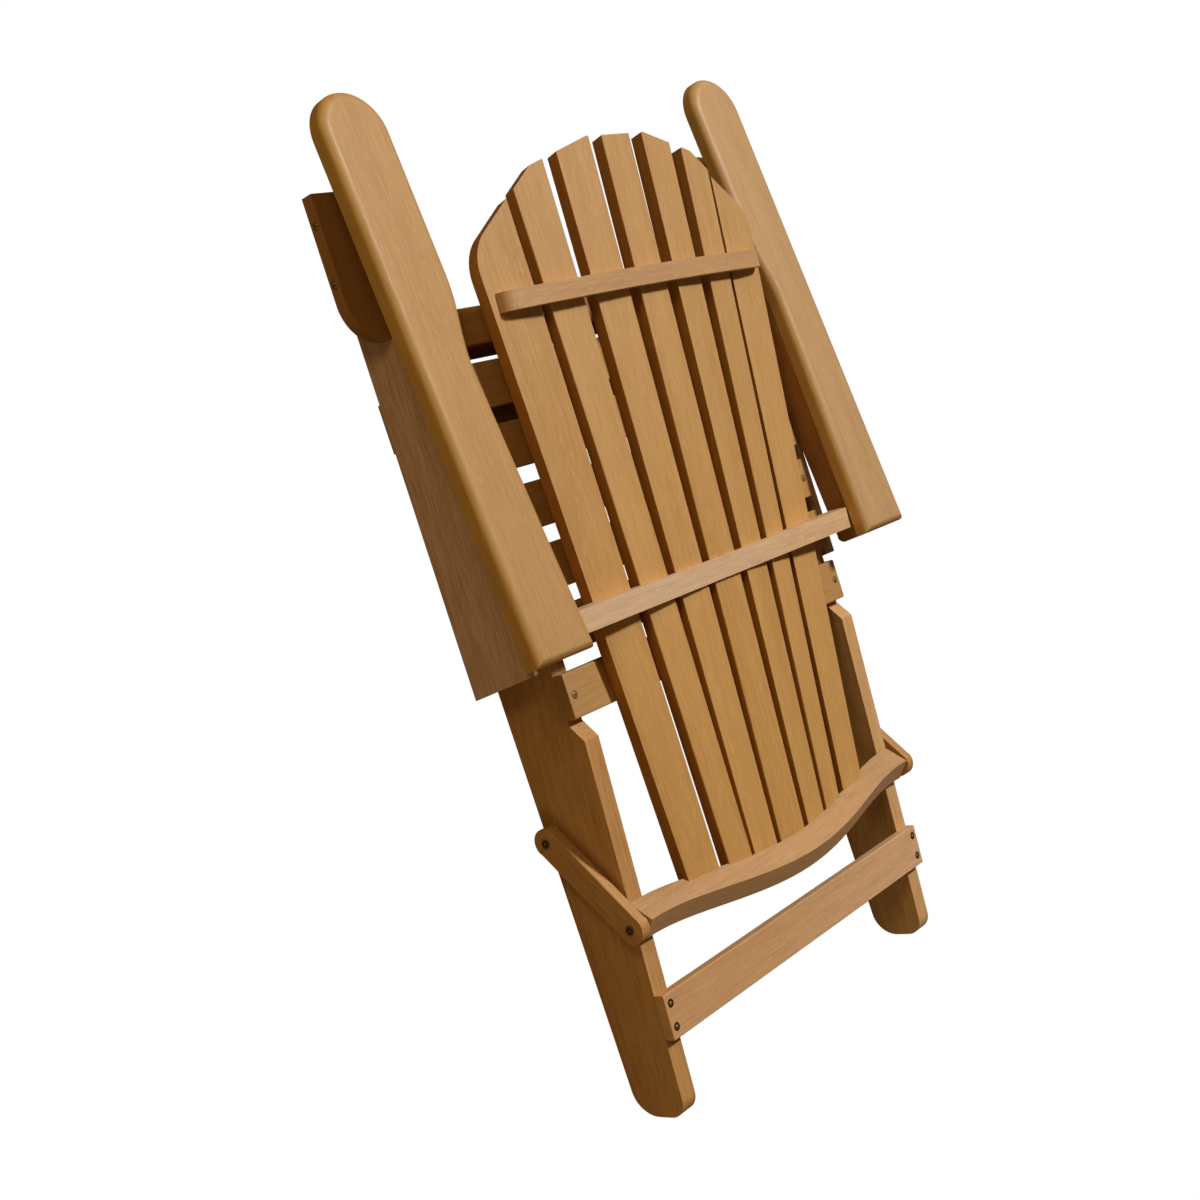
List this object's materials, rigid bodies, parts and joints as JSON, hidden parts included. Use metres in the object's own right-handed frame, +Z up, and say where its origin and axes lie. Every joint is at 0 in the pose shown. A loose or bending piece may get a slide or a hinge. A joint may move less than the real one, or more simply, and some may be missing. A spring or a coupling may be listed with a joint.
{
  "type": "folding adirondack chair",
  "caption": "Folding slatted wooden garden armchair, folded flat: fan back on curved rails, sloped seat, wide arms on pivoted legs, and links that carry the back.",
  "frame": {"origin": "middle of the folded chair on the floor", "axes": "+Z up, -Y towards the front of the chair, +X to the left of someone sitting in it"},
  "size_m": [0.725, 1.1027, 0.1943],
  "materials": {
    "boards": "satin",
    "fastenings": "satin"
  },
  "bodies": {
    "seat_frame": {"left_stringer": "boards", "right_stringer": "boards", "seat_slat_1": "boards", "seat_slat_2": "boards", "seat_slat_3": "boards", "seat_slat_4": "boards", "seat_slat_5": "boards", "seat_slat_6": "boards", "nosing": "boards", "apron": "boards", "stretcher": "boards", "stop_rail": "boards", "left_link_pin": "fastenings", "right_link_pin": "fastenings", "seat_screws": "fastenings", "stretcher_screws": "fastenings"},
    "links": {"left_link": "boards", "right_link": "boards"},
    "back": {"back_slat_1": "boards", "back_slat_2": "boards", "back_slat_3": "boards", "back_slat_4": "boards", "back_slat_5": "boards", "back_slat_6": "boards", "back_slat_7": "boards", "upper_rail": "boards", "mid_rail": "boards", "lower_rail": "boards", "left_rail_pin": "fastenings", "right_rail_pin": "fastenings"},
    "legs": {"left_leg": "boards", "right_leg": "boards", "left_bracket": "boards", "right_bracket": "boards", "left_leg_pin": "fastenings", "right_leg_pin": "fastenings", "bracket_screws": "fastenings"},
    "arms": {"left_arm": "boards", "right_arm": "boards", "left_arm_rail": "boards", "right_arm_rail": "boards", "left_arm_lug": "boards", "right_arm_lug": "boards", "left_arm_pin": "fastenings", "right_arm_pin": "fastenings", "left_back_pin": "fastenings", "right_back_pin": "fastenings"}
  },
  "joints": [
    {"name": "back_swing", "type": "hinge", "parent": "links", "child": "back", "pos_m": [0, 0.34004, 0.0919], "axis": [-1, 0, 0], "range_deg": [0, 186.59]},
    {"name": "link_swing", "type": "hinge", "parent": "seat_frame", "child": "links", "pos_m": [0, 0.23445, 0.01842], "axis": [1, 0, 0], "range_deg": [0, 90.84]},
    {"name": "leg_swing", "type": "hinge", "parent": "seat_frame", "child": "legs", "pos_m": [0, -0.16698, 0.05409], "axis": [-1, 0, 0], "range_deg": [0, 80.02]},
    {"name": "arm_swing", "type": "hinge", "parent": "legs", "child": "arms", "pos_m": [0, -0.42164, 0.06886], "axis": [1, 0, 0], "range_deg": [0, 87.66]}
  ],
  "couplings": [
    {"joint": "link_swing", "follows": "back_swing", "ratio": 0.48674},
    {"joint": "leg_swing", "follows": "back_swing", "ratio": 0.42875},
    {"joint": "arm_swing", "follows": "back_swing", "ratio": 0.46969}
  ]
}
